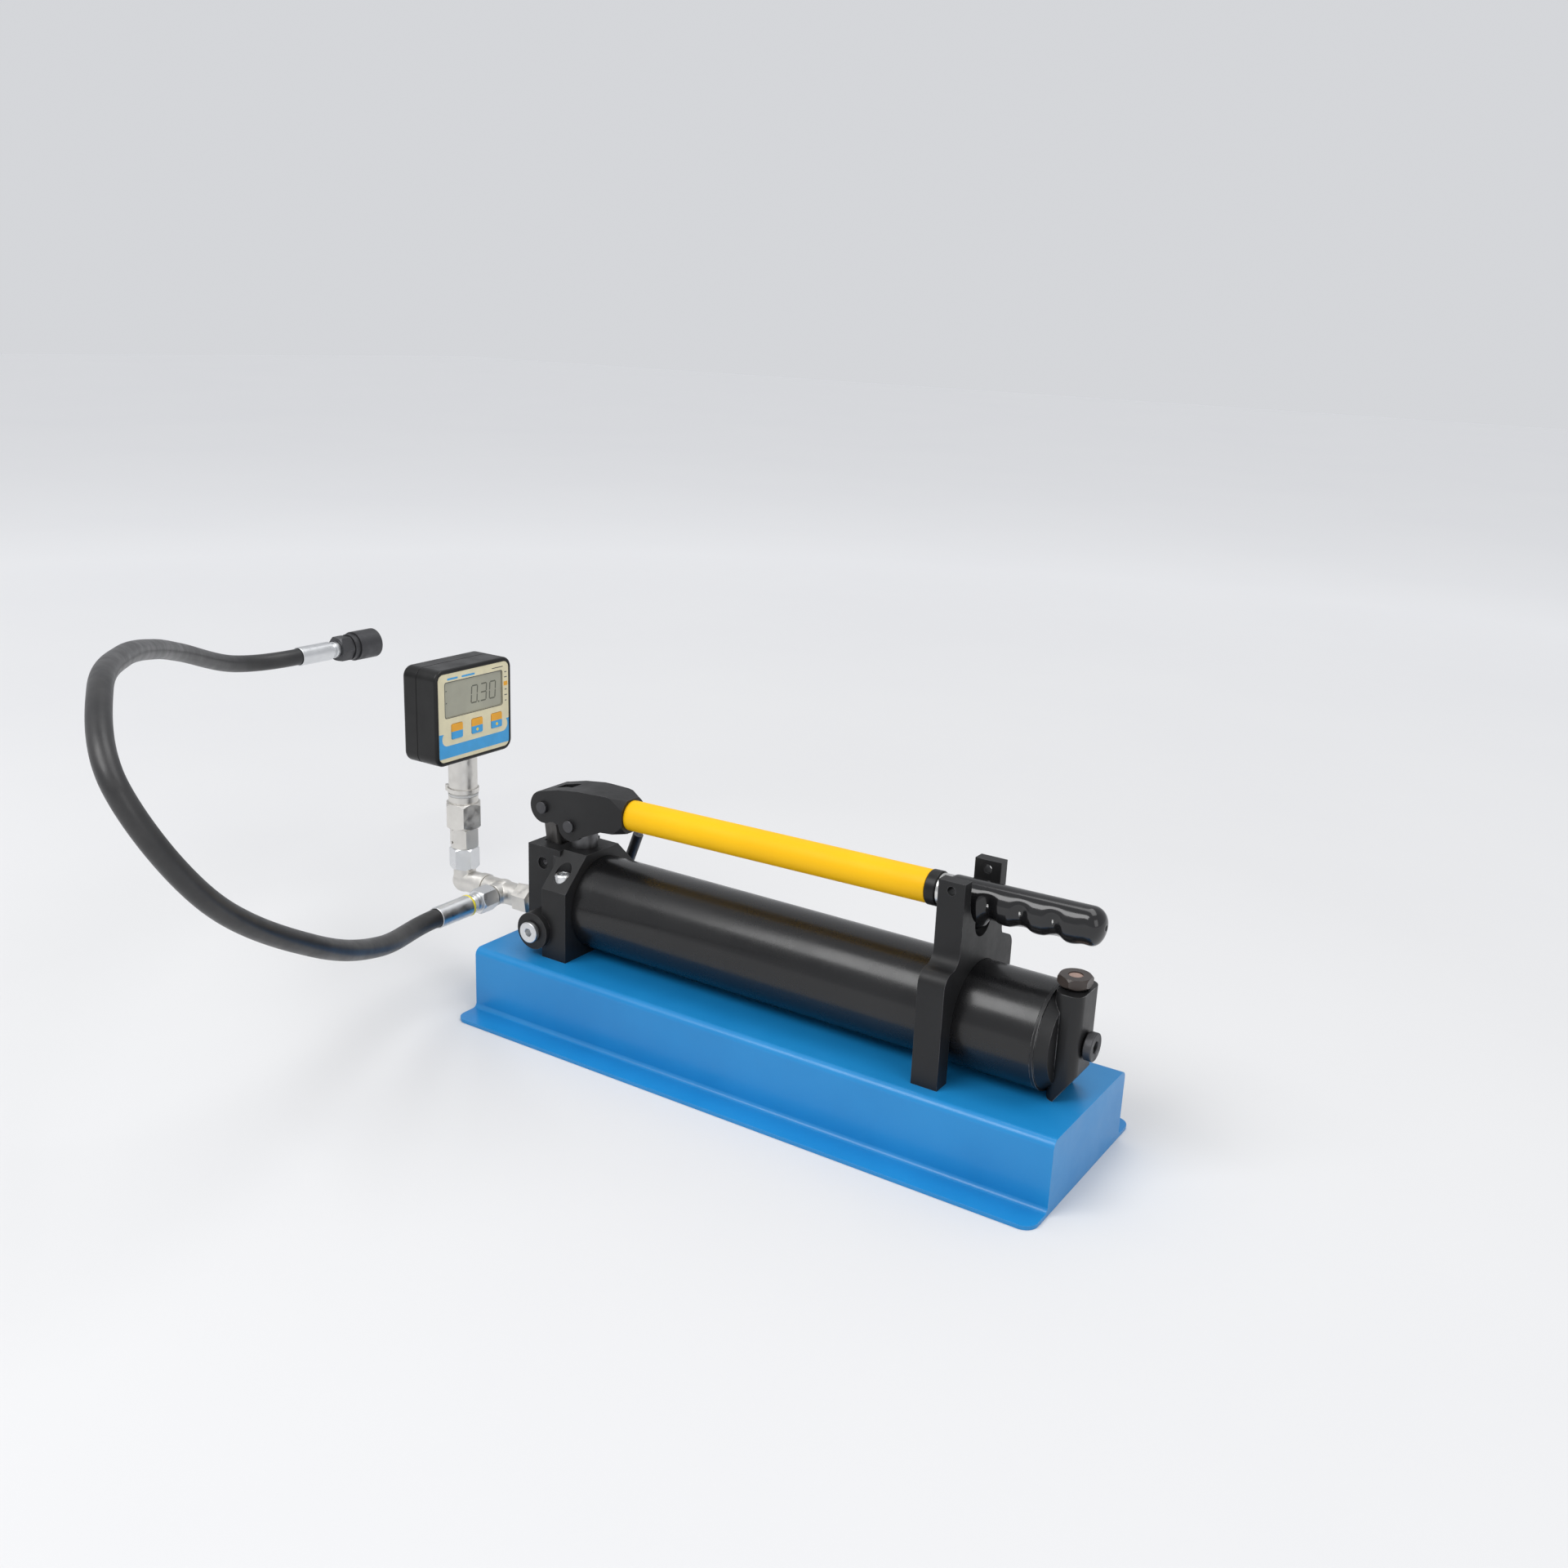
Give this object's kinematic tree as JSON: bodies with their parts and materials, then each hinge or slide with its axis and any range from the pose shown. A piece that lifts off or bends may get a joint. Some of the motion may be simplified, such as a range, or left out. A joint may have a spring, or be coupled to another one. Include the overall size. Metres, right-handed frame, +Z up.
{
  "type": "hydraulic hand pump",
  "caption": "Lever-operated hydraulic hand pump on a folded tray, with cylindrical oil reservoir, upright digital pressure gauge and a flexible outlet hose.",
  "frame": {"origin": "on the surface the tray stands on, at the middle of the tray's length, in the pump's vertical centre plane", "axes": "+X runs from the pump head along the reservoir to the rear cap and the end of the handle, +Y is the side of the release valve, +Z is up"},
  "size_m": [0.839, 0.5418, 0.3261],
  "materials": {
    "tray_paint": "bright blue enamel on folded sheet steel, slightly orange-peeled, scuffed at the edges",
    "black_enamel": "satin black enamel over machined and cast steel, thin on the corners",
    "tube_paint": "smooth satin black paint on drawn tube, with dust and fine rubs",
    "yellow_paint": "glossy golden yellow paint on tube, rubbed near the lever head",
    "bright_steel": "drawn steel bar, clean, lightly brushed along its length",
    "phosphated_steel": "dark phosphated steel, oily",
    "ground_piston": "ground alloy steel, dark grey, oiled",
    "zinc_steel": "bright zinc plated steel with fine turning marks",
    "nickel_steel": "nickel plated fittings, slightly warm, soft highlights",
    "ball_steel": "polished bearing steel",
    "spring_steel": "drawn spring wire",
    "black_plastic": "moulded black plastic with a fine grain",
    "grip_vinyl": "dipped black vinyl, glossy",
    "plug_plastic": "dark brown moulded plug, worn to a soft shine",
    "breather_filter": "sintered breather disc, pinkish brown",
    "seal_rubber": "black nitrile rubber",
    "seal_plastic": "white sealing ring",
    "ring_plastic": "dark blue seal plastic",
    "strainer_brass": "drilled brass strainer",
    "tube_steel": "plain drawn steel",
    "hose_rubber": "black braided hydraulic hose cover, semi-matt, with fine spiral marks",
    "faceplate_film": null,
    "display_glass": "grey-green liquid crystal display with a seven-segment number",
    "key_film": "orange and blue membrane keys",
    "board_laminate": "green circuit board"
  },
  "bodies": {
    "pump_body": {"base_tray": "tray_paint", "base_screws": "zinc_steel", "base_washers": "zinc_steel", "pump_head": "black_enamel", "reservoir_tube": "tube_paint", "tube_seals": "seal_rubber", "rear_cap": "black_enamel", "tie_rod": "bright_steel", "tie_screw": "phosphated_steel", "bonded_seals": "seal_rubber", "filler_seal": "seal_rubber", "suction_tube": "tube_steel", "suction_strainer": "strainer_brass", "inlet_seat": "zinc_steel", "inlet_spring": "spring_steel", "outlet_spring": "spring_steel", "relief_spring": "spring_steel", "relief_screw": "zinc_steel", "side_plug": "zinc_steel", "piston_seal": "ring_plastic", "guide_ring": "ring_plastic", "link_pin": "phosphated_steel", "handle_bracket": "black_enamel", "outlet_adapter": "nickel_steel", "tee_fitting": "nickel_steel", "elbow_fitting": "nickel_steel", "elbow_nut": "zinc_steel", "snubber_nut": "nickel_steel", "gauge_nut": "nickel_steel", "gauge_seal": "seal_plastic", "gauge_stem": "nickel_steel", "gauge_rear_case": "black_plastic", "gauge_front_case": "black_plastic", "gauge_faceplate": "faceplate_film", "display_panel": "display_glass", "circuit_board": "board_laminate", "hose_nut": "zinc_steel", "hose_ferrules": "zinc_steel", "hose": "hose_rubber", "hose_coupler": "phosphated_steel"},
    "piston": {"piston": "ground_piston"},
    "lever": {"lever_head": "black_enamel", "handle_tube": "yellow_paint", "handle_bar": "bright_steel", "handle_collar": "black_plastic", "handle_ring": "bright_steel", "handle_grip": "grip_vinyl", "fulcrum_pin": "phosphated_steel", "piston_pin": "phosphated_steel"},
    "fulcrum_link": {"fulcrum_link": "phosphated_steel"},
    "release_valve": {"release_spindle": "phosphated_steel", "release_lever": "phosphated_steel"},
    "filler_plug": {"filler_plug": "plug_plastic", "breather_disc": "breather_filter"},
    "inlet_ball": {"inlet_ball": "ball_steel"},
    "outlet_ball": {"outlet_ball": "ball_steel"},
    "relief_ball": {"relief_ball": "ball_steel"},
    "key_left": {"key_left": "key_film"},
    "key_middle": {"key_middle": "key_film"},
    "key_right": {"key_right": "key_film"}
  },
  "joints": [
    {"name": "piston_stroke", "type": "slide", "parent": "pump_body", "child": "piston", "axis": [0, 0, 1], "range_m": [0, 0.0249]},
    {"name": "lever_swing", "type": "hinge", "parent": "piston", "child": "lever", "pos_m": [-0.1934, 0, 0.1566], "axis": [0, -1, 0], "range_deg": [0, 50]},
    {"name": "link_swing", "type": "hinge", "parent": "lever", "child": "fulcrum_link", "pos_m": [-0.2211, 0, 0.1667], "axis": [0, -1, 0], "range_deg": [-50.1, 0]},
    {"name": "release_turn", "type": "hinge", "parent": "pump_body", "child": "release_valve", "pos_m": [-0.204, 0.056, 0.0755], "axis": [0, 1, 0], "range_deg": [0, 60]},
    {"name": "filler_plug_turn", "type": "hinge", "parent": "pump_body", "child": "filler_plug", "pos_m": [0.228, 0, 0.135], "axis": [0, 0, 1], "range_deg": [0, 360]},
    {"name": "inlet_ball_lift", "type": "slide", "parent": "pump_body", "child": "inlet_ball", "axis": [0, 0, 1], "range_m": [0, 0.001], "deforming": ["inlet_spring"]},
    {"name": "outlet_ball_lift", "type": "slide", "parent": "pump_body", "child": "outlet_ball", "axis": [-1, 0, 0], "range_m": [0, 0.001], "deforming": ["outlet_spring"]},
    {"name": "relief_ball_lift", "type": "slide", "parent": "pump_body", "child": "relief_ball", "axis": [0, 0, 1], "range_m": [0, 0.001], "deforming": ["relief_spring"]},
    {"name": "key_left_press", "type": "slide", "parent": "pump_body", "child": "key_left", "axis": [-1, 0, 0], "range_m": [0, 0.0004], "stiffness_N_per_m": 400},
    {"name": "key_middle_press", "type": "slide", "parent": "pump_body", "child": "key_middle", "axis": [-1, 0, 0], "range_m": [0, 0.0004], "stiffness_N_per_m": 400},
    {"name": "key_right_press", "type": "slide", "parent": "pump_body", "child": "key_right", "axis": [-1, 0, 0], "range_m": [0, 0.0004], "stiffness_N_per_m": 400}
  ],
  "couplings": [
    {"joint": "piston_stroke", "follows": "lever_swing", "m_per_rad": 0.0284},
    {"joint": "link_swing", "follows": "lever_swing", "ratio": -1}
  ]
}
